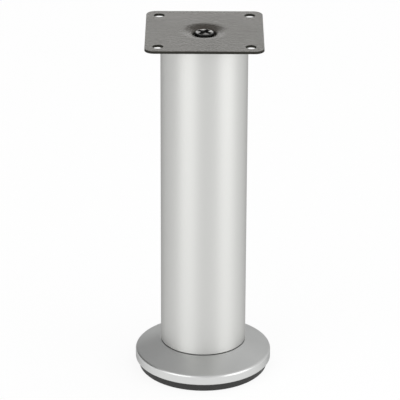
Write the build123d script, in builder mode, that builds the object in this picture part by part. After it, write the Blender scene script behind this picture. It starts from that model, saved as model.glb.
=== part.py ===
from build123d import *
from math import atan2, radians, sqrt, tan
import os

os.makedirs("parts", exist_ok=True)

# Tubular furniture leg with a plate on top and a screw-adjusted foot, in millimetres.
# It stands on the floor at z = 0, its axis is Z, and the plate's sides lie along X and Y.
overall_height = 210.0

# Leg tube
tube_diameter = 50.0
tube_wall = 1.5
tube_deburr = 0.3

# Mounting plate, pressed from sheet, with a dish that takes the screw's head
plate_side = 67.0
plate_thickness = 1.5
plate_corner_radius = 5.5
plate_edge_break = 0.2
plate_hole_diameter = 6.2
plate_hole_inset = 7.5
dish_slope_run = 5.2
dish_slope_drop = 1.5
dish_lip_bend = 13.5
dish_edge_bend = 0.5
dish_wall_run = 0.6
dish_floor_bend = 0.6
dish_head_gap = 0.1

# Plate screw, M6 with a low domed head, and its nut
screw_diameter = 6.0
screw_length = 16.0
screw_head_diameter = 11.0
screw_head_height = 3.0
screw_head_sink = 0.3
screw_crown_drop = 0.5
screw_head_round = 1.0
recess_span = 9.0
recess_width = 3.0
recess_depth = 1.8
recess_taper = 8.0
recess_turn = 56.0
top_nut_flats = 10.0
top_nut_height = 5.0

# Moulded inserts in both ends of the tube
insert_length = 24.0
insert_wall = 2.0
insert_deck = 3.0
insert_lead_in = 0.8
insert_rib_count = 6
insert_rib_thickness = 1.8
insert_hub_wall = 2.4
insert_hub_roof = 4.0
top_insert_gap = 0.3
top_nut_cover = 1.0

# Foot bolt, M10, and its nut
bolt_diameter = 10.0
bolt_length = 35.0
bolt_head_flats = 17.0
bolt_head_height = 6.4
bolt_tip_chamfer = 1.0
foot_nut_flats = 17.0
foot_nut_height = 8.0
foot_nut_recess = 0.5

# Foot cover, a cast cone with an upright band round its rim
foot_diameter = 80.0
foot_height = 17.0
foot_shoulder = 0.3
foot_band_height = 5.7
foot_rim_round = 1.6
foot_skirt_break = 0.4
foot_shell = 2.2
foot_skirt_wall = 1.3
foot_hub_wall = 2.5
foot_hub_gap = 0.5
foot_rib_count = 6
foot_rib_thickness = 1.8
foot_rib_gap = 0.6
snap_lip_depth = 0.6
snap_lip_height = 1.0
snap_lip_slope = 0.5

# Foot glide, the moulded base that stands on the floor and snaps into the cover
glide_stand = 5.0
glide_floor = 3.0
glide_rim_wall = 2.0
glide_land = 8.5
glide_recess = 0.8
glide_edge_break = 0.6
glide_boss_diameter = 22.0
glide_rib_count = 6
glide_rib_thickness = 2.0
bead_hold = 0.35
bead_slope = 0.6
bead_height = 0.6
bead_tip = 0.5

# Clearances
shadow_gap = 0.4
press_clearance = 0.05
thread_clearance = 0.1
hex_clearance = 0.1
bolt_hole_clearance = 0.3
glide_clearance = 0.3

# Standard form of hexagon nuts and bolt heads: the turned face as a share of the width, and its cone
hexagon_face_share = 0.95
hexagon_cone_angle = 30.0

# Levels from the floor up
snap_lip_z = glide_stand + snap_lip_height
bead_z = snap_lip_z + glide_clearance
bead_crest_z = bead_z + bead_slope
bead_crest_top_z = bead_crest_z + bead_height
glide_top_z = bead_crest_top_z + bead_tip
foot_rim_z = glide_stand + foot_band_height
bolt_seat_z = glide_stand + bolt_head_height
tube_bottom_z = foot_height + shadow_gap
foot_nut_z = foot_height + foot_nut_recess
foot_nut_top_z = foot_nut_z + foot_nut_height
plate_bottom_z = overall_height - plate_thickness
dish_depth = screw_head_height + screw_head_sink
screw_seat_z = overall_height - dish_depth
dish_seat_z = plate_bottom_z - dish_depth
top_nut_z = dish_seat_z - insert_deck - top_nut_height

# Radii that several pieces share
tube_radius = tube_diameter / 2
insert_radius = tube_radius - tube_wall - press_clearance
insert_bore_radius = insert_radius - insert_wall
screw_radius = screw_diameter / 2
screw_hole_radius = screw_radius + bolt_hole_clearance
bolt_radius = bolt_diameter / 2
bolt_hole_radius = bolt_radius + bolt_hole_clearance
foot_radius = foot_diameter / 2
skirt_bore_radius = foot_radius - foot_skirt_wall
snap_lip_radius = skirt_bore_radius - snap_lip_depth


def corner_radius(flats):
    """Distance from the centre of a hexagon to its corners, from its width across flats."""
    return flats / sqrt(3)


def turned_hexagon(flats, base_z, height):
    """Start a part with a hexagonal prism whose corners are turned off by a cone at both ends."""
    with BuildSketch(Plane.XY.offset(base_z)) as outline:
        RegularPolygon(flats / 2, 6, major_radius=False)
    extrude(outline.sketch, amount=height)
    outer = corner_radius(flats)
    face = flats / 2 * hexagon_face_share
    drop = (outer - face) * tan(radians(hexagon_cone_angle))
    top_z = base_z + height
    with BuildSketch(Plane.XZ) as turned:
        with BuildLine():
            Polyline(
                (0, base_z),
                (face, base_z),
                (outer, base_z + drop),
                (outer, top_z - drop),
                (face, top_z),
                (0, top_z),
                close=True,
            )
        make_face()
    revolve(turned.sketch, axis=Axis.Z, mode=Mode.INTERSECT)


def hexagon_hole(flats, base_z, height):
    """Cut a hexagonal pocket that clears a nut or bolt head of this width across flats."""
    with BuildSketch(Plane.XY.offset(base_z)) as outline:
        RegularPolygon(flats / 2 + hex_clearance, 6, major_radius=False)
    extrude(outline.sketch, amount=height, mode=Mode.SUBTRACT)


def radial_ribs(count, thickness, inner, outer, base_z, top_z):
    """Add upright ribs that run out from a hub to the wall around it."""
    with BuildSketch(Plane.XY.offset(base_z)) as outline:
        with PolarLocations((inner + outer) / 2, count):
            Rectangle(outer - inner, thickness)
    extrude(outline.sketch, amount=top_z - base_z)


# Leg tube: drawn aluminium tube, cut square and deburred at both ends
with BuildPart() as leg_tube:
    with BuildSketch(Plane.XY.offset(tube_bottom_z)):
        Circle(tube_radius)
        Circle(tube_radius - tube_wall, mode=Mode.SUBTRACT)
    extrude(amount=plate_bottom_z - tube_bottom_z)
    chamfer(leg_tube.edges().filter_by(GeomType.CIRCLE), tube_deburr)
leg_tube.part.label = "leg_tube"
export_step(leg_tube.part, "parts/leg_tube.step")

# Mounting plate: the flat sheet, then the dish as a turned section of the same sheet, a gentle slope
# down to a pocket for the screw's head
dish_floor_radius = screw_head_diameter / 2 + dish_head_gap + dish_floor_bend
dish_edge_radius = dish_floor_radius + dish_wall_run
dish_edge_z = overall_height - dish_slope_drop
dish_mouth_radius = dish_edge_radius + dish_slope_run
dish_lip_round = dish_lip_bend + plate_thickness
dish_lip_run = dish_lip_round * tan(atan2(dish_slope_drop, dish_slope_run) / 2)
dish_reach = dish_mouth_radius + dish_lip_run + plate_thickness
plate_hole_spacing = plate_side - 2 * plate_hole_inset
with BuildPart() as mounting_plate:
    with BuildSketch(Plane.XY.offset(plate_bottom_z)):
        RectangleRounded(plate_side, plate_side, plate_corner_radius)
        Circle(dish_reach, mode=Mode.SUBTRACT)
        with GridLocations(plate_hole_spacing, plate_hole_spacing, 2, 2):
            Circle(plate_hole_diameter / 2, mode=Mode.SUBTRACT)
    extrude(amount=plate_thickness)
    with BuildSketch(Plane.XZ):
        with BuildLine():
            FilletPolyline(
                (dish_reach, overall_height),
                (dish_mouth_radius, overall_height),
                (dish_edge_radius, dish_edge_z),
                (dish_floor_radius, screw_seat_z),
                (screw_hole_radius, screw_seat_z),
                radius=(dish_lip_round, dish_edge_bend + plate_thickness, dish_floor_bend),
            )
            offset(amount=plate_thickness, side=Side.LEFT)
        make_face()
    revolve(axis=Axis.Z)
    top_rim = mounting_plate.faces().sort_by(Axis.Z)[-1].outer_wire().edges()
    chamfer(top_rim, plate_edge_break)
mounting_plate.part.label = "mounting_plate"
export_step(mounting_plate.part, "parts/mounting_plate.step")

# Plate screw: low domed head that lies below the plate's top, cross recess, plain shank
screw_head_radius = screw_head_diameter / 2
screw_top_z = screw_seat_z + screw_head_height
screw_tip_z = screw_seat_z - screw_length
screw_crown_radius = (screw_head_radius**2 + screw_crown_drop**2) / (2 * screw_crown_drop)
screw_tip_chamfer = screw_radius / 4
with BuildPart() as plate_screw:
    with BuildSketch(Plane.XZ) as screw_section:
        with BuildLine():
            crown = RadiusArc(
                (0, screw_top_z),
                (screw_head_radius, screw_top_z - screw_crown_drop),
                screw_crown_radius,
            )
            Polyline(
                crown @ 1,
                (screw_head_radius, screw_seat_z),
                (screw_radius, screw_seat_z),
                (screw_radius, screw_tip_z + screw_tip_chamfer),
                (screw_radius - screw_tip_chamfer, screw_tip_z),
                (0, screw_tip_z),
                crown @ 0,
            )
        make_face()
        fillet(screw_section.vertices().group_by(Axis.X)[-1].sort_by(Axis.Y)[-1], screw_head_round)
    revolve(axis=Axis.Z)
    with BuildSketch(Plane.XY.offset(screw_top_z)):
        Rectangle(recess_span, recess_width, rotation=recess_turn)
        Rectangle(recess_width, recess_span, rotation=recess_turn)
    extrude(amount=-recess_depth, taper=recess_taper, mode=Mode.SUBTRACT)
plate_screw.part.label = "plate_screw"
export_step(plate_screw.part, "parts/plate_screw.step")

# Top nut: M6, held under the deck of the top insert
with BuildPart() as top_nut:
    turned_hexagon(top_nut_flats, top_nut_z, top_nut_height)
    with Locations((0, 0, top_nut_z)):
        Hole(screw_radius + thread_clearance)
top_nut.part.label = "top_nut"
export_step(top_nut.part, "parts/top_nut.step")

# Top insert: sleeve in the tube, a deck that the dish seats on, and a ribbed hub round the nut
top_sleeve_z = plate_bottom_z - top_insert_gap
top_deck_bottom_z = dish_seat_z - insert_deck
top_hub_radius = corner_radius(top_nut_flats) + insert_hub_wall
top_hub_z = top_nut_z - top_nut_cover
with BuildPart() as top_insert:
    with BuildSketch(Plane.XZ):
        with BuildLine():
            Polyline(
                (screw_hole_radius, dish_seat_z),
                (insert_bore_radius, dish_seat_z),
                (insert_bore_radius, top_sleeve_z),
                (insert_radius, top_sleeve_z),
                (insert_radius, top_sleeve_z - insert_length + insert_lead_in),
                (insert_radius - insert_lead_in, top_sleeve_z - insert_length),
                (insert_bore_radius, top_sleeve_z - insert_length),
                (insert_bore_radius, top_deck_bottom_z),
                (top_hub_radius, top_deck_bottom_z),
                (top_hub_radius, top_hub_z),
                (screw_hole_radius, top_hub_z),
                close=True,
            )
        make_face()
    revolve(axis=Axis.Z)
    radial_ribs(
        insert_rib_count,
        insert_rib_thickness,
        top_hub_radius - insert_hub_wall / 2,
        insert_bore_radius + insert_wall / 2,
        top_hub_z,
        top_deck_bottom_z,
    )
    hexagon_hole(top_nut_flats, top_hub_z, top_deck_bottom_z - top_hub_z)
top_insert.part.label = "top_insert"
export_step(top_insert.part, "parts/top_insert.step")

# Bottom insert: closes the tube's end, and its ribbed hub holds the nut against a roof
bottom_sleeve_z = foot_height + insert_length
bottom_deck_z = foot_height + insert_deck
bottom_hub_radius = corner_radius(foot_nut_flats) + insert_hub_wall
bottom_hub_z = foot_nut_top_z + insert_hub_roof
with BuildPart() as bottom_insert:
    with BuildSketch(Plane.XZ):
        with BuildLine():
            Polyline(
                (bolt_hole_radius, foot_height),
                (insert_radius, foot_height),
                (insert_radius, bottom_sleeve_z - insert_lead_in),
                (insert_radius - insert_lead_in, bottom_sleeve_z),
                (insert_bore_radius, bottom_sleeve_z),
                (insert_bore_radius, bottom_deck_z),
                (bottom_hub_radius, bottom_deck_z),
                (bottom_hub_radius, bottom_hub_z),
                (bolt_hole_radius, bottom_hub_z),
                close=True,
            )
        make_face()
    revolve(axis=Axis.Z)
    radial_ribs(
        insert_rib_count,
        insert_rib_thickness,
        bottom_hub_radius - insert_hub_wall / 2,
        insert_bore_radius + insert_wall / 2,
        bottom_deck_z,
        bottom_hub_z,
    )
    hexagon_hole(foot_nut_flats, foot_height, foot_nut_top_z - foot_height)
bottom_insert.part.label = "bottom_insert"
export_step(bottom_insert.part, "parts/bottom_insert.step")

# Foot nut: M10, pressed up against the roof of the bottom insert's hub
with BuildPart() as foot_nut:
    turned_hexagon(foot_nut_flats, foot_nut_z, foot_nut_height)
    with Locations((0, 0, foot_nut_z)):
        Hole(bolt_radius + thread_clearance)
foot_nut.part.label = "foot_nut"
export_step(foot_nut.part, "parts/foot_nut.step")

# Foot bolt: M10, its head down in the cover's hub and its end up through the foot nut
with BuildPart() as foot_bolt:
    turned_hexagon(bolt_head_flats, glide_stand, bolt_head_height)
    with BuildSketch(Plane.XY.offset(bolt_seat_z)):
        Circle(bolt_radius)
    extrude(amount=bolt_length)
    chamfer(foot_bolt.faces().sort_by(Axis.Z)[-1].edges(), bolt_tip_chamfer)
foot_bolt.part.label = "foot_bolt"
export_step(foot_bolt.part, "parts/foot_bolt.step")

# Foot cover: cone, rounded rim and skirt in one turned section, with a snap lip inside the skirt,
# a hub that holds the bolt's head, and ribs from the hub to the skirt
cone_top_radius = tube_radius + foot_shoulder
cone_slope = (foot_height - foot_rim_z) / (foot_radius - cone_top_radius)
shell_drop = foot_shell * sqrt(1 + cone_slope**2)
cavity_rim_z = foot_rim_z + cone_slope * foot_skirt_wall - shell_drop
cavity_top_z = foot_height - shell_drop
foot_hub_radius = corner_radius(bolt_head_flats) + foot_hub_wall
foot_hub_z = glide_stand + foot_hub_gap
foot_rib_z = glide_top_z + foot_rib_gap
rib_root = foot_hub_radius - foot_hub_wall / 2
rib_end = skirt_bore_radius + foot_skirt_wall / 2
with BuildPart() as foot_rib:
    with BuildSketch(Plane.XZ):
        with BuildLine():
            Polyline(
                (rib_root, foot_rib_z),
                (rib_end, foot_rib_z),
                (rib_end, foot_rib_z + foot_skirt_wall / 2),
                (cone_top_radius, foot_height - shell_drop / 2),
                (rib_root, foot_height - shell_drop / 2),
                close=True,
            )
        make_face()
    extrude(amount=foot_rib_thickness / 2, both=True)
with BuildPart() as foot_cover:
    with BuildSketch(Plane.XZ):
        with BuildLine():
            FilletPolyline(
                (bolt_hole_radius, foot_height),
                (cone_top_radius, foot_height),
                (foot_radius, foot_rim_z),
                (foot_radius, glide_stand + foot_skirt_break),
                (foot_radius - foot_skirt_break, glide_stand),
                (snap_lip_radius, glide_stand),
                (snap_lip_radius, snap_lip_z),
                (skirt_bore_radius, snap_lip_z + snap_lip_slope),
                (skirt_bore_radius, cavity_rim_z),
                (cone_top_radius, cavity_top_z),
                (foot_hub_radius, cavity_top_z),
                (foot_hub_radius, foot_hub_z),
                (bolt_hole_radius, foot_hub_z),
                radius=(0, 0, foot_rim_round, 0, 0, 0, 0, 0, 0, 0, 0, 0, 0),
                close=True,
            )
        make_face()
    revolve(axis=Axis.Z)
    with PolarLocations(0, foot_rib_count):
        add(foot_rib.part)
    hexagon_hole(bolt_head_flats, foot_hub_z, bolt_seat_z - foot_hub_z)
foot_cover.part.label = "foot_cover"
export_step(foot_cover.part, "parts/foot_cover.step")

# Foot glide: dished underside with a flat land, a rim with a snap bead, and a boss under the bolt
glide_radius = snap_lip_radius - glide_clearance
bead_radius = snap_lip_radius + bead_hold
land_radius = glide_radius - glide_land
with BuildPart() as foot_glide:
    with BuildSketch(Plane.XZ):
        with BuildLine():
            Polyline(
                (0, glide_recess),
                (land_radius - glide_recess, glide_recess),
                (land_radius, 0),
                (glide_radius - glide_edge_break, 0),
                (glide_radius, glide_edge_break),
                (glide_radius, bead_z),
                (bead_radius, bead_crest_z),
                (bead_radius, bead_crest_top_z),
                (glide_radius, glide_top_z),
                (glide_radius - glide_rim_wall, glide_top_z),
                (glide_radius - glide_rim_wall, glide_floor),
                (glide_boss_diameter / 2, glide_floor),
                (glide_boss_diameter / 2, glide_stand),
                (0, glide_stand),
                close=True,
            )
        make_face()
    revolve(axis=Axis.Z)
    radial_ribs(
        glide_rib_count,
        glide_rib_thickness,
        glide_boss_diameter / 4,
        glide_radius - glide_rim_wall / 2,
        glide_floor,
        glide_stand,
    )
foot_glide.part.label = "foot_glide"
export_step(foot_glide.part, "parts/foot_glide.step")
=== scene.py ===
from math import cos, pi, radians, sin, tan

import bpy
import numpy as np
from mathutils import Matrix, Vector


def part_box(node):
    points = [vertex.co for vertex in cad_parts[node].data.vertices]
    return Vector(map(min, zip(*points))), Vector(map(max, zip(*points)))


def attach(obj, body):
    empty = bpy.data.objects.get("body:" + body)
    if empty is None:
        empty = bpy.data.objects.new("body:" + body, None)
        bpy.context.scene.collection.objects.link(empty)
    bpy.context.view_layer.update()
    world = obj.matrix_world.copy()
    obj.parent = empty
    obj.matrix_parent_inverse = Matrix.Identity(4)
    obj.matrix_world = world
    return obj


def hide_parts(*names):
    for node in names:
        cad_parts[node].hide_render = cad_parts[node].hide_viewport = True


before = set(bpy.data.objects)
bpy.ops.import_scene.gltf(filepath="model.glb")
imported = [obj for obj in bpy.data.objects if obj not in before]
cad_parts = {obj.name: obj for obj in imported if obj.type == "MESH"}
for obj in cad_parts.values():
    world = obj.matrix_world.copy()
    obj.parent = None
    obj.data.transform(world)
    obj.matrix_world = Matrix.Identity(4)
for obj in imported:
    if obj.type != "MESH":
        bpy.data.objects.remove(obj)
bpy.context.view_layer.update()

# Leg tube: drawn aluminium tube, cut square and deburred at both ends. It is brushed round its girth
# and clear anodised, which leaves fine lines round it and a soft satin sheen. The plate and the foot are
# screwed to the inserts that are pressed into its ends.
millimetre = 0.001
tube_low, tube_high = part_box("leg_tube")
tube_radius = tube_high.x
tube_wall = 1.5 * millimetre
tube_deburr = 0.3 * millimetre
tube_sides = 240
tube_rows = 48
tube_silver = (0.672, 0.674, 0.658, 1.0)
edge_grey = (0.4, 0.4, 0.4, 1.0)
brush_pull = 0.6
brush_turn = 0.25
fine_line_cells = (30.0, 30.0, 3600.0)
long_line_cells = (8.0, 8.0, 420.0)
long_line_share = 0.35
line_spread = (0.25, 0.75)
line_tones = (0.96, 1.04)
line_gloss = (0.45, 0.55)
line_strength = 0.25
line_depth = 0.01 * millimetre


def rounded_section(corners, rounds, steps=5):
    """Closed section as radius and height pairs: each corner becomes an arc that starts and ends at the
    given length from the corner, a quadratic curve with the corner as its middle control point."""
    corners = np.asarray(corners, float)
    before = np.roll(corners, 1, axis=0) - corners
    after = np.roll(corners, -1, axis=0) - corners
    reach = np.asarray(rounds, float)[:, None]
    start = corners + before / np.linalg.norm(before, axis=1, keepdims=True) * reach
    end = corners + after / np.linalg.norm(after, axis=1, keepdims=True) * reach
    share = np.linspace(0.0, 1.0, steps)[None, :, None]
    bend = corners[:, None] * 2 * share * (1 - share)
    arcs = start[:, None] * (1 - share) ** 2 + bend + end[:, None] * share**2
    return arcs.reshape(-1, 2)


def turned_points(section, sides):
    """Points of a turned surface: section row i at angle j is (r cos a, r sin a, z), as rows by sides."""
    angle = np.linspace(0.0, 2 * pi, sides, endpoint=False)
    radius, height = section[:, 0, None], section[:, 1, None]
    level = np.broadcast_to(height, (len(section), sides))
    return np.stack([radius * np.cos(angle), radius * np.sin(angle), level], axis=2)


def grid_faces(rows, sides, closed_rows=False):
    """Four-cornered faces between neighbouring rows of a grid whose columns close into rings; the rows
    close too where the section is a loop. Corner order gives outward faces when a section runs
    anticlockwise seen with the radius to the right and the height up."""
    row = np.arange(rows if closed_rows else rows - 1)[:, None]
    side = np.arange(sides)[None, :]
    row_start, next_row_start = row * sides, (row + 1) % rows * sides
    side_next = (side + 1) % sides
    corners = [row_start + side, row_start + side_next, next_row_start + side_next, next_row_start + side]
    return np.stack(corners, axis=2).reshape(-1, 4)


def new_piece(name, points, faces, sharp_angle=35.0):
    """Makes a mesh object at the origin from an array of points and a list of faces, smooth shaded, with
    the edges that bend by more than the given angle kept sharp."""
    mesh = bpy.data.meshes.new(name)
    mesh.from_pydata(np.asarray(points).reshape(-1, 3).tolist(), [], faces)
    mesh.shade_smooth()
    mesh.set_sharp_from_angle(angle=radians(sharp_angle))
    piece = bpy.data.objects.new(name, mesh)
    bpy.context.scene.collection.objects.link(piece)
    return piece


def set_inputs(tree, node, inputs):
    """Links each named input of a shader node to a socket, or sets it to a plain value."""
    for name, value in inputs.items():
        if isinstance(value, bpy.types.NodeSocket):
            tree.links.new(value, node.inputs[name])
        else:
            node.inputs[name].default_value = value


def add_node(tree, kind, inputs, **options):
    """Adds a shader node with its options and inputs, and returns its outputs."""
    node = tree.nodes.new(kind)
    for option, value in options.items():
        setattr(node, option, value)
    set_inputs(tree, node, inputs)
    return node.outputs


def new_finish(name, values):
    """Starts a material with one Principled shader, whose uniform values are set on its own sockets, and
    gives the object's own coordinates for its patterns."""
    finish = bpy.data.materials.new(name)
    finish.use_nodes = True
    tree = finish.node_tree
    shader = tree.nodes["Principled BSDF"]
    set_inputs(tree, shader, values)
    return finish, tree, shader, add_node(tree, "ShaderNodeTexCoord", {})["Object"]


def noise(tree, place, cells, detail):
    """Soft random pattern round 0.5 with so many cells to a metre, and finer copies added to it as the
    detail goes up."""
    return add_node(tree, "ShaderNodeTexNoise", {"Vector": place, "Scale": cells, "Detail": detail})[0]


def ranged(tree, value, low, high, start=0.0, end=1.0, **options):
    """Goes from low to high while the value goes from start to end, and stays level beyond both."""
    limits = {"Value": value, "From Min": start, "From Max": end, "To Min": low, "To Max": high}
    return add_node(tree, "ShaderNodeMapRange", limits, **options)[0]


def mixed_value(tree, share, first, second):
    """Number between two others: the first at a share of 0 and the second at a share of 1."""
    return add_node(tree, "ShaderNodeMix", {"Factor": share, "A": first, "B": second})[0]


def mixed_tone(tree, share, first, second):
    """Colour between two others: the first at a share of 0 and the second at a share of 1."""
    return add_node(tree, "ShaderNodeMix", {"Factor": share, 6: first, 7: second}, data_type="RGBA")[2]


def varied_tone(tree, pattern, colour, low, high):
    """Colour that a pattern varies, from low times the colour at 0 to high times the colour at 1."""
    darker = tuple(low * part for part in colour)
    paler = tuple(high * part for part in colour)
    return mixed_tone(tree, pattern, darker, paler)


def raised(tree, pattern, strength, depth):
    """Surface normal bent as if a pattern stood up by the given depth, to a share of its full strength."""
    return add_node(tree, "ShaderNodeBump", {"Height": pattern, "Strength": strength, "Distance": depth})[0]


def brushed_lines(tree, place, cells, detail):
    """Lines round the tube: a noise with few cells to a metre across it and many along its height."""
    stretched = add_node(tree, "ShaderNodeMapping", {"Vector": place, "Scale": cells})[0]
    return noise(tree, stretched, 1.0, detail)


tube_corners = [
    (tube_radius - tube_wall, tube_low.z),
    (tube_radius, tube_low.z),
    (tube_radius, tube_high.z),
    (tube_radius - tube_wall, tube_high.z),
]
low_rim, high_rim = np.split(rounded_section(tube_corners, [tube_deburr] * 4), 2)
outer_wall = np.linspace(low_rim[-1], high_rim[0], tube_rows + 1)[1:-1]
inner_wall = np.linspace(high_rim[-1], low_rim[0], tube_rows + 1)[1:-1]
tube_section = np.concatenate([low_rim, outer_wall, high_rim, inner_wall])
tube_points = turned_points(tube_section, tube_sides)
tube_faces = grid_faces(len(tube_section), tube_sides, closed_rows=True)
brushed_leg = new_piece("brushed_leg", tube_points, tube_faces.tolist())

brushed_silver, tree, shader, place = new_finish(
    "brushed_silver",
    {
        "Metallic": 1.0,
        "Specular Tint": edge_grey,
        "Anisotropic": brush_pull,
        "Anisotropic Rotation": brush_turn,
    },
)
fine_lines = brushed_lines(tree, place, fine_line_cells, detail=2.0)
long_lines = brushed_lines(tree, place, long_line_cells, detail=3.0)
all_lines = mixed_value(tree, long_line_share, fine_lines, long_lines)
set_inputs(
    tree,
    shader,
    {
        "Base Color": varied_tone(tree, all_lines, tube_silver, *line_tones),
        "Roughness": ranged(tree, all_lines, *line_gloss, *line_spread),
        "Normal": raised(tree, all_lines, line_strength, line_depth),
        "Tangent": add_node(tree, "ShaderNodeTangent", {}, direction_type="RADIAL", axis="Z")[0],
    },
)
brushed_leg.data.materials.append(brushed_silver)
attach(brushed_leg, "leg")
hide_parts("leg_tube")

# Inserts: two plugs moulded in black plastic and pressed into the tube's ends. The upper one carries the
# plate's dish and the lower one closes the tube and holds the nut of the foot. They keep a fine grain.
insert_black = (0.03, 0.03, 0.031, 1.0)
insert_grain = 3000.0
insert_roughness = 0.5
plastic_ior = 1.49
plastic_tones = (0.8, 1.2)
plastic_gloss_spread = 0.08
grains_to_cloud = 40
grain_strength = 0.35
grain_depth = 0.05 * millimetre


def moulded_finish(name, colour, grain, roughness):
    """Moulded plastic: two noises, one of fine grain and one of soft clouds, vary tone, gloss and relief."""
    finish, tree, shader, place = new_finish(name, {"IOR": plastic_ior})
    pits = noise(tree, place, grain, detail=2.0)
    clouds = noise(tree, place, grain / grains_to_cloud, detail=3.0)
    gloss = (roughness - plastic_gloss_spread, roughness + plastic_gloss_spread)
    set_inputs(
        tree,
        shader,
        {
            "Base Color": varied_tone(tree, clouds, colour, *plastic_tones),
            "Roughness": ranged(tree, pits, *gloss),
            "Normal": raised(tree, pits, grain_strength, grain_depth),
        },
    )
    return finish


insert_plastic = moulded_finish("insert_plastic", insert_black, insert_grain, insert_roughness)
for insert in ("top_insert", "bottom_insert"):
    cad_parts[insert].data.materials[0] = insert_plastic

# Nuts: steel hexagon nuts, zinc plated, pressed into the pockets of the inserts before those go into the
# tube. The upper one takes the plate screw and the lower one takes the foot bolt.
zinc_silver = (0.6, 0.61, 0.63, 1.0)
zinc_tones = (0.85, 1.1)
zinc_gloss = (0.25, 0.45)
spangle_cells = 700.0

zinc_plate, tree, shader, place = new_finish("zinc_plate", {"Metallic": 1.0})
spangle = noise(tree, place, spangle_cells, detail=4.0)
set_inputs(
    tree,
    shader,
    {
        "Base Color": varied_tone(tree, spangle, zinc_silver, *zinc_tones),
        "Roughness": ranged(tree, spangle, *zinc_gloss),
    },
)
for nut in ("top_nut", "foot_nut"):
    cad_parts[nut].data.materials[0] = zinc_plate

# Mounting plate: sheet steel, punched and pressed, with a dish for the screw and a hole in each corner.
# Its coat is a satin black with a fine grain, which mirrors a pale room where it is seen at a slant. Its
# steep faces, the cut edges, the hole walls and the dish's walls, are painted nearly black as painted shade.
coat_black = (0.044, 0.039, 0.035, 1.0)
coat_glint = (1.0, 0.98, 0.8, 1.0)
coat_ior = 1.5
coat_tones = (0.4, 1.6)
coat_gloss = (0.21, 0.29)
# Painted shade: the near-black colour and the roughness that steep faces are given, over this range of
# slope.
steep_painted_shade = (0.006, 0.006, 0.006, 1.0)
steep_face_roughness = 0.8
shade_slope_range = (0.3, 0.8)
speckle_cells = 950.0
speckle_strength = 0.8
speckle_depth = 0.26 * millimetre
haze_cells = 60.0

coat, tree, shader, place = new_finish("plate_coat", {"IOR": coat_ior, "Specular Tint": coat_glint})
speckle = noise(tree, place, speckle_cells, detail=2.0)
haze = noise(tree, place, haze_cells, detail=2.0)
# Painted shade: the more a face tilts from level, the closer its colour goes to the near-black shade.
facing = add_node(tree, "ShaderNodeNewGeometry", {})["Normal"]
upward = add_node(tree, "ShaderNodeSeparateXYZ", {"Vector": facing})["Z"]
level_share = add_node(tree, "ShaderNodeMath", {0: upward}, operation="ABSOLUTE")[0]
flatness = ranged(tree, level_share, 0.0, 1.0, *shade_slope_range, interpolation_type="SMOOTHSTEP")
speckled_black = varied_tone(tree, speckle, coat_black, *coat_tones)
hazy_gloss = ranged(tree, haze, *coat_gloss)
set_inputs(
    tree,
    shader,
    {
        "Base Color": mixed_tone(tree, flatness, steep_painted_shade, speckled_black),
        "Roughness": mixed_value(tree, flatness, steep_face_roughness, hazy_gloss),
        "Normal": raised(tree, speckle, speckle_strength, speckle_depth),
    },
)
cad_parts["mounting_plate"].data.materials[0] = coat

# Plate screw: M6 steel screw with a low domed head and a cross recess. It is cold headed, its thread is
# rolled, and it is zinc plated. Its head's colour is painted light and shade: near-black round the rim and
# side as painted shade, paler in the middle round the recess and brighter on the crown's top as painted
# highlights. It holds the plate's dish down on the upper insert.
screw_low, screw_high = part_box("plate_screw")
screw_head_radius = screw_high.x
screw_radius = 3.0 * millimetre
screw_pitch = 1.0 * millimetre
screw_tip_chamfer = 0.75 * millimetre
screw_seat_z = screw_low.z + 16.0 * millimetre
screw_top_z = screw_seat_z + 3.0 * millimetre
screw_crown_drop = 0.5 * millimetre
screw_head_round = 0.62 * millimetre
head_edge_break = 0.1 * millimetre
head_steps = 7
crown_edge_radius = 4.86 * millimetre
crown_steps = 6
crown_sharp_angle = 40.0
recess_half_span = 4.5 * millimetre
recess_half_width = 1.5 * millimetre
recess_depth = 1.8 * millimetre
recess_draft = recess_depth * tan(radians(8.0))
recess_turn = radians(56.0)
arm_steps = 8
thread_steps = 16
thread_crest = 1 / 16
thread_root = 3 / 8
thread_depth_share = 0.61
screw_steel = (0.55, 0.54, 0.52, 1.0)
# Painted shade: the near-black that the head's rim and side are painted.
screw_painted_shade = (0.03, 0.03, 0.03, 1.0)
screw_gloss = (0.22, 0.4)
screw_grain = 900.0
# Painted highlights: the paler middle round the recess, and the share of bare steel on the crown's top
# between these heights.
middle_painted_light = (0.15, 0.148, 0.145, 1.0)
crown_highlight_share = 0.4
highlight_from_z = screw_top_z - 0.42 * millimetre
highlight_full_z = screw_top_z - 0.36 * millimetre


def cross_outline(half_span, half_width):
    """Outline of a cross as one ring of points: along an arm's near side, across its end and back to the
    inner corner, and the same again for the other three arms, each turned by a quarter turn."""
    step = np.arange(arm_steps) / arm_steps
    out = half_width + (half_span - half_width) * step - 1j * half_width
    across = half_span + 1j * half_width * (2 * step - 1)
    back = half_span + (half_width - half_span) * step + 1j * half_width
    arm = np.concatenate([out, across, back])
    turns = np.exp(1j * (recess_turn + pi / 2 * np.arange(4)))
    return (turns[:, None] * arm).ravel()


def ring_points(rings, heights):
    """Points of rings given as complex numbers in the plane, row by row, at the given heights."""
    rings = np.asarray(rings)
    levels = np.broadcast_to(np.asarray(heights), rings.shape)
    return np.stack([rings.real, rings.imag, levels], axis=2)


def capped_skin(rings, low_pole, high_pole):
    """Points and faces of a surface through rings from the low end to the high end, closed at each end by
    a fan of triangles round a pole on the axis."""
    rows, sides = rings.shape[:2]
    side = np.arange(sides)
    side_next = (side + 1) % sides
    top = (rows - 1) * sides
    low_fan = np.stack([np.full(sides, rows * sides), side_next, side], axis=1)
    high_fan = np.stack([top + side, top + side_next, np.full(sides, rows * sides + 1)], axis=1)
    points = np.concatenate([rings.reshape(-1, 3), [(0.0, 0.0, low_pole), (0.0, 0.0, high_pole)]])
    return points, grid_faces(rows, sides).tolist() + low_fan.tolist() + high_fan.tolist()


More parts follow.
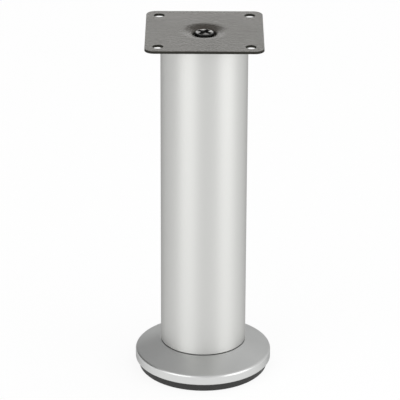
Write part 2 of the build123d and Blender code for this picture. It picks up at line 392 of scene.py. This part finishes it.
def thread_radius(heights, angles, radius, pitch, runout):
    """Radius of a right-hand thread: the crest climbs one pitch in a turn, flanks fall straight from its
    flat to the root's flat, and the groove grows from nothing over one pitch from the runout's height."""
    turn = heights / pitch - angles / (2 * pi)
    from_crest = np.abs(turn - np.round(turn))
    fall = np.clip((from_crest - thread_crest) / (thread_root - thread_crest), 0.0, 1.0)
    growth = np.clip(np.abs(heights - runout) / pitch, 0.0, 1.0)
    return radius - thread_depth_share * pitch * fall * growth


def crown_height(radius):
    """Height of the screw's crown, a spherical cap that drops from the head's top towards its rim."""
    sphere = (screw_head_radius**2 + screw_crown_drop**2) / (2 * screw_crown_drop)
    return screw_top_z - sphere + np.sqrt(sphere**2 - radius**2)


recess_edge = cross_outline(recess_half_span, recess_half_width)
recess_floor = cross_outline(recess_half_span - recess_draft, recess_half_width - recess_draft)
recess_floor_z = screw_top_z - recess_depth
screw_angles = np.angle(recess_edge)
screw_spokes = np.exp(1j * screw_angles)
shank_rows = int((screw_seat_z - screw_low.z) / screw_pitch * thread_steps)
shank_heights = np.linspace(screw_low.z, screw_seat_z, shank_rows)[:, None]
shank_radii = thread_radius(shank_heights, screw_angles, screw_radius, screw_pitch, screw_seat_z)
shank_radii = np.minimum(shank_radii, screw_radius - screw_tip_chamfer + shank_heights - screw_low.z)
head_corners = [
    (screw_radius, screw_seat_z),
    (screw_head_radius, screw_seat_z),
    (screw_head_radius, screw_top_z - screw_crown_drop),
    (crown_edge_radius, crown_height(crown_edge_radius)),
]
head_arcs = rounded_section(head_corners, [0.0, head_edge_break, screw_head_round, 0.0], head_steps)
head_section = head_arcs[head_steps : 3 * head_steps]
crown_share = np.linspace(0.0, 1.0, crown_steps)[:, None]
crown_rings = (1 - crown_share) * crown_edge_radius * screw_spokes + crown_share * recess_edge
screw_rings = np.concatenate(
    [
        ring_points(shank_radii * screw_spokes, shank_heights),
        ring_points(head_section[:, :1] * screw_spokes, head_section[:, 1:]),
        ring_points(crown_rings, crown_height(np.abs(crown_rings))),
        ring_points([recess_floor], recess_floor_z),
    ]
)
screw_skin = capped_skin(screw_rings, screw_low.z, recess_floor_z)
cross_head_screw = new_piece("cross_head_screw", *screw_skin, sharp_angle=crown_sharp_angle)

screw_plating, tree, shader, place = new_finish("screw_plating", {"Metallic": 1.0})
grain = noise(tree, place, screw_grain, detail=3.0)
# Painted highlight on the crown's top and painted shade round the head, set by height and by distance from
# the crown's middle.
height = add_node(tree, "ShaderNodeSeparateXYZ", {"Vector": place})["Z"]
crown_highlight = ranged(tree, height, 0.0, crown_highlight_share, highlight_from_z, highlight_full_z)
crown_middle = (0.0, 0.0, screw_top_z)
from_middle = add_node(tree, "ShaderNodeVectorMath", {0: place, 1: crown_middle}, operation="DISTANCE")
middle_light_share = ranged(tree, from_middle["Value"], 1.0, 0.0, recess_half_span, crown_edge_radius)
painted_head_tone = mixed_tone(tree, middle_light_share, screw_painted_shade, middle_painted_light)
set_inputs(
    tree,
    shader,
    {
        "Base Color": mixed_tone(tree, crown_highlight, painted_head_tone, screw_steel),
        "Roughness": ranged(tree, grain, *screw_gloss),
    },
)
cross_head_screw.data.materials.append(screw_plating)
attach(cross_head_screw, "leg")
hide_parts("plate_screw")

# Foot cover: a shell cast in light alloy, a shallow cone with a rounded rim and an upright band. It is
# turned, satin finished and lacquered in silver, and its hub underneath grips the head of the foot bolt.
cover_silver = (0.66, 0.666, 0.658, 1.0)
cover_tones = (0.96, 1.04)
cover_gloss = (0.3, 0.42)
blast_cells = 2500.0
blast_strength = 0.12
blast_depth = 0.02 * millimetre
cast_cells = 90.0

satin_silver, tree, shader, place = new_finish("satin_silver", {"Metallic": 1.0, "Specular Tint": edge_grey})
blast = noise(tree, place, blast_cells, detail=2.0)
cast = noise(tree, place, cast_cells, detail=3.0)
set_inputs(
    tree,
    shader,
    {
        "Base Color": varied_tone(tree, cast, cover_silver, *cover_tones),
        "Roughness": ranged(tree, blast, *cover_gloss),
        "Normal": raised(tree, blast, blast_strength, blast_depth),
    },
)
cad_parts["foot_cover"].data.materials[0] = satin_silver

# Foot bolt: M10 steel hexagon bolt with a rolled thread, zinc plated. Its head sits in the cover's hub and
# its thread runs up through the nut in the lower insert, so turning the foot moves it in or out.
bolt_low, bolt_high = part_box("foot_bolt")
bolt_radius = 5.0 * millimetre
bolt_pitch = 1.5 * millimetre
bolt_tip_chamfer = 1.0 * millimetre
bolt_seat_z = bolt_low.z + 6.4 * millimetre
bolt_half_flats = bolt_high.y
bolt_face_radius = 0.95 * bolt_half_flats
bolt_face_slope = tan(radians(30.0))
bolt_head_rows = 25
bolt_sides = 96
flat_angle = pi / 3

bolt_angles = np.linspace(0.0, 2 * pi, bolt_sides, endpoint=False)
bolt_spokes = np.exp(1j * bolt_angles)
hexagon_radii = bolt_half_flats / np.cos(bolt_angles % flat_angle - flat_angle / 2)
bolt_head_heights = np.linspace(bolt_low.z, bolt_seat_z, bolt_head_rows)[:, None]
from_end = np.minimum(bolt_head_heights - bolt_low.z, bolt_seat_z - bolt_head_heights)
bolt_head_radii = np.minimum(hexagon_radii, bolt_face_radius + from_end / bolt_face_slope)
bolt_rows = int((bolt_high.z - bolt_seat_z) / bolt_pitch * thread_steps)
bolt_heights = np.linspace(bolt_seat_z, bolt_high.z, bolt_rows)[:, None]
bolt_radii = thread_radius(bolt_heights, bolt_angles, bolt_radius, bolt_pitch, bolt_seat_z)
bolt_radii = np.minimum(bolt_radii, bolt_radius - bolt_tip_chamfer + bolt_high.z - bolt_heights)
bolt_rings = np.concatenate(
    [
        ring_points(bolt_head_radii * bolt_spokes, bolt_head_heights),
        ring_points(bolt_radii * bolt_spokes, bolt_heights),
    ]
)
threaded_bolt = new_piece("threaded_foot_bolt", *capped_skin(bolt_rings, bolt_low.z, bolt_high.z))
threaded_bolt.data.materials.append(zinc_plate)
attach(threaded_bolt, "foot")
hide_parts("foot_bolt")

# Glide: the black base, moulded in tough plastic, that stands on the floor. It snaps into the cover's
# skirt, and the foot turns on it.
glide_black = (0.016, 0.016, 0.015, 1.0)
glide_grain = 2600.0
glide_roughness = 0.55
glide_plastic = moulded_finish("glide_plastic", glide_black, glide_grain, glide_roughness)
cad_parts["foot_glide"].data.materials[0] = glide_plastic

# Floor: a plain white studio floor under the glide, which it follows as the foot is screwed out, with a low
# white wall far off round it. They show as the white background to the camera and in the metal, and the
# floor keeps the leg's soft shadow.
floor_reach = 8.0
floor_middle = 1.0
wall_height = 0.82
floor_sides = 96
floor_drop = 0.05 * millimetre
floor_white = (0.95, 0.95, 0.95, 1.0)
background_white = (1.0, 1.0, 1.0, 1.0)
background_share = 0.88

floor_section = np.array([(floor_reach, wall_height), (floor_reach, 0.0), (floor_middle, 0.0)])
floor_points = turned_points(floor_section - (0.0, floor_drop), floor_sides)
floor_rings = grid_faces(len(floor_section), floor_sides).tolist()
middle_disc = list(range(2 * floor_sides, 3 * floor_sides))
floor = new_piece("floor", floor_points, floor_rings + [middle_disc])
floor_paper = bpy.data.materials.new("floor_paper")
floor_paper.use_nodes = True
floor_paper.cycles.emission_sampling = "NONE"
tree = floor_paper.node_tree
tree.nodes.clear()
path = add_node(tree, "ShaderNodeLightPath", {})
sight = path["Is Camera Ray"]
for ray in ("Is Glossy Ray", "Is Transmission Ray"):
    sight = add_node(tree, "ShaderNodeMath", {0: sight, 1: path[ray]}, operation="MAXIMUM")[0]
share = add_node(tree, "ShaderNodeMath", {0: sight, 1: background_share}, operation="MULTIPLY")[0]
paper = add_node(tree, "ShaderNodeBsdfDiffuse", {"Color": floor_white})[0]
glow = add_node(tree, "ShaderNodeEmission", {"Color": background_white, "Strength": 1.0})[0]
mixed = add_node(tree, "ShaderNodeMixShader", {0: share, 1: paper, 2: glow})[0]
add_node(tree, "ShaderNodeOutputMaterial", {"Surface": mixed})
floor.data.materials.append(floor_paper)
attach(floor, "glide")

# Studio: a pale room with a dimmer ceiling, a dark corner on the left and a lit wall behind the leg with a
# dark band above it, and two large soft boxes at the front. Matt surfaces get the room's light a little
# fuller than mirrors show it.
room_fill = 1.5
room_grey = (0.75, 0.75, 0.75, 1.0)
ceiling = {"azimuth": 0.0, "elevation": 90.0, "inner": 15.0, "outer": 55.0, "level": 0.66}
upper_right = {"azimuth": 135.0, "elevation": 55.0, "inner": 5.0, "outer": 40.0, "level": 0.9}
upper_left = {"azimuth": -150.0, "elevation": 45.0, "inner": 25.0, "outer": 60.0, "level": 0.47}
dark_corner = {"azimuth": -110.0, "elevation": 0.0, "inner": 18.0, "outer": 55.0, "level": 0.02}
camera_side = {"azimuth": 0.0, "elevation": 12.0, "inner": 3.0, "outer": 18.0, "level": 0.62}
dark_band = {"azimuth": 180.0, "elevation": 50.0, "inner": 8.0, "outer": 20.0, "level": 0.15}
lit_wall = {"azimuth": 180.0, "elevation": 15.0, "inner": 10.0, "outer": 18.0, "level": 1.53}
box_elevation = 13.0
box_distance = 1.3
box_width = 1.0
box_height = 0.9

room = bpy.data.worlds.new("room")
bpy.context.scene.world = room
room.use_nodes = True
room.cycles.sampling_method = "NONE"
tree = room.node_tree
tree.nodes.clear()
outward = add_node(tree, "ShaderNodeTexCoord", {})["Generated"]


def studio_direction(azimuth, elevation):
    """Unit vector from the leg: azimuth turns from the camera's side to the right, elevation goes up."""
    turn, rise = radians(azimuth), radians(elevation)
    return (sin(turn) * cos(rise), -cos(turn) * cos(rise), sin(rise))


def shaded_patch(walls, azimuth, elevation, inner, outer, level):
    """Sets the room to a grey level round a direction: fully within the inner angle, fading smoothly to
    nothing at the outer one."""
    middle = studio_direction(azimuth, elevation)
    nearness = add_node(tree, "ShaderNodeVectorMath", {0: outward, 1: middle}, operation="DOT_PRODUCT")
    fade = (cos(radians(outer)), cos(radians(inner)))
    amount = ranged(tree, nearness["Value"], 0.0, 1.0, *fade, interpolation_type="SMOOTHSTEP")
    return mixed_tone(tree, amount, walls, (level, level, level, 1.0))


def soft_box(name, azimuth, radiance):
    """A flat lamp that faces the middle of the leg; azimuth is measured from the camera's side, to the
    right, and the power is radiance times pi times the lamp's area."""
    lamp = bpy.data.lights.new(name, "AREA")
    lamp.shape = "RECTANGLE"
    lamp.size = box_width
    lamp.size_y = box_height
    lamp.energy = radiance * pi * box_width * box_height
    box = bpy.data.objects.new(name, lamp)
    box.location = [box_distance * part for part in studio_direction(azimuth, box_elevation)]
    box.rotation_euler = (pi / 2 - radians(box_elevation), 0.0, radians(azimuth))
    bpy.context.scene.collection.objects.link(box)


walls = room_grey
for patch in (ceiling, upper_right, upper_left, dark_corner, camera_side, dark_band, lit_wall):
    walls = shaded_patch(walls, **patch)
path = add_node(tree, "ShaderNodeLightPath", {})
fullness = ranged(tree, path["Is Diffuse Ray"], 1.0, room_fill)
sky = add_node(tree, "ShaderNodeBackground", {"Color": walls, "Strength": fullness})[0]
add_node(tree, "ShaderNodeOutputWorld", {"Surface": sky})
soft_box("front_left_box", -41.0, 1.6)
soft_box("front_right_box", 60.0, 1.7)

# Camera: a long lens in front of the leg, looking down at it, with the slight lean of the picture. Its
# distance, pitch and aim fit the outlines of the tube, the plate and the foot together.
camera_pitch = 23.57
camera_lean = 0.234
camera_distance = 1.57025
camera_aim = (-0.002133, 0.0, 0.105494)
camera = bpy.data.objects.new("camera", bpy.data.cameras.new("camera"))
camera.data.sensor_width = 36.0
camera.data.lens = 242.93
to_camera = studio_direction(0.0, camera_pitch)
camera.location = [aim + camera_distance * part for aim, part in zip(camera_aim, to_camera)]
camera.rotation_mode = "ZYX"
camera.rotation_euler = (pi / 2 - radians(camera_pitch), 0.0, radians(camera_lean))
bpy.context.scene.collection.objects.link(camera)
bpy.context.scene.camera = camera
bpy.context.scene.view_settings.view_transform = "Standard"
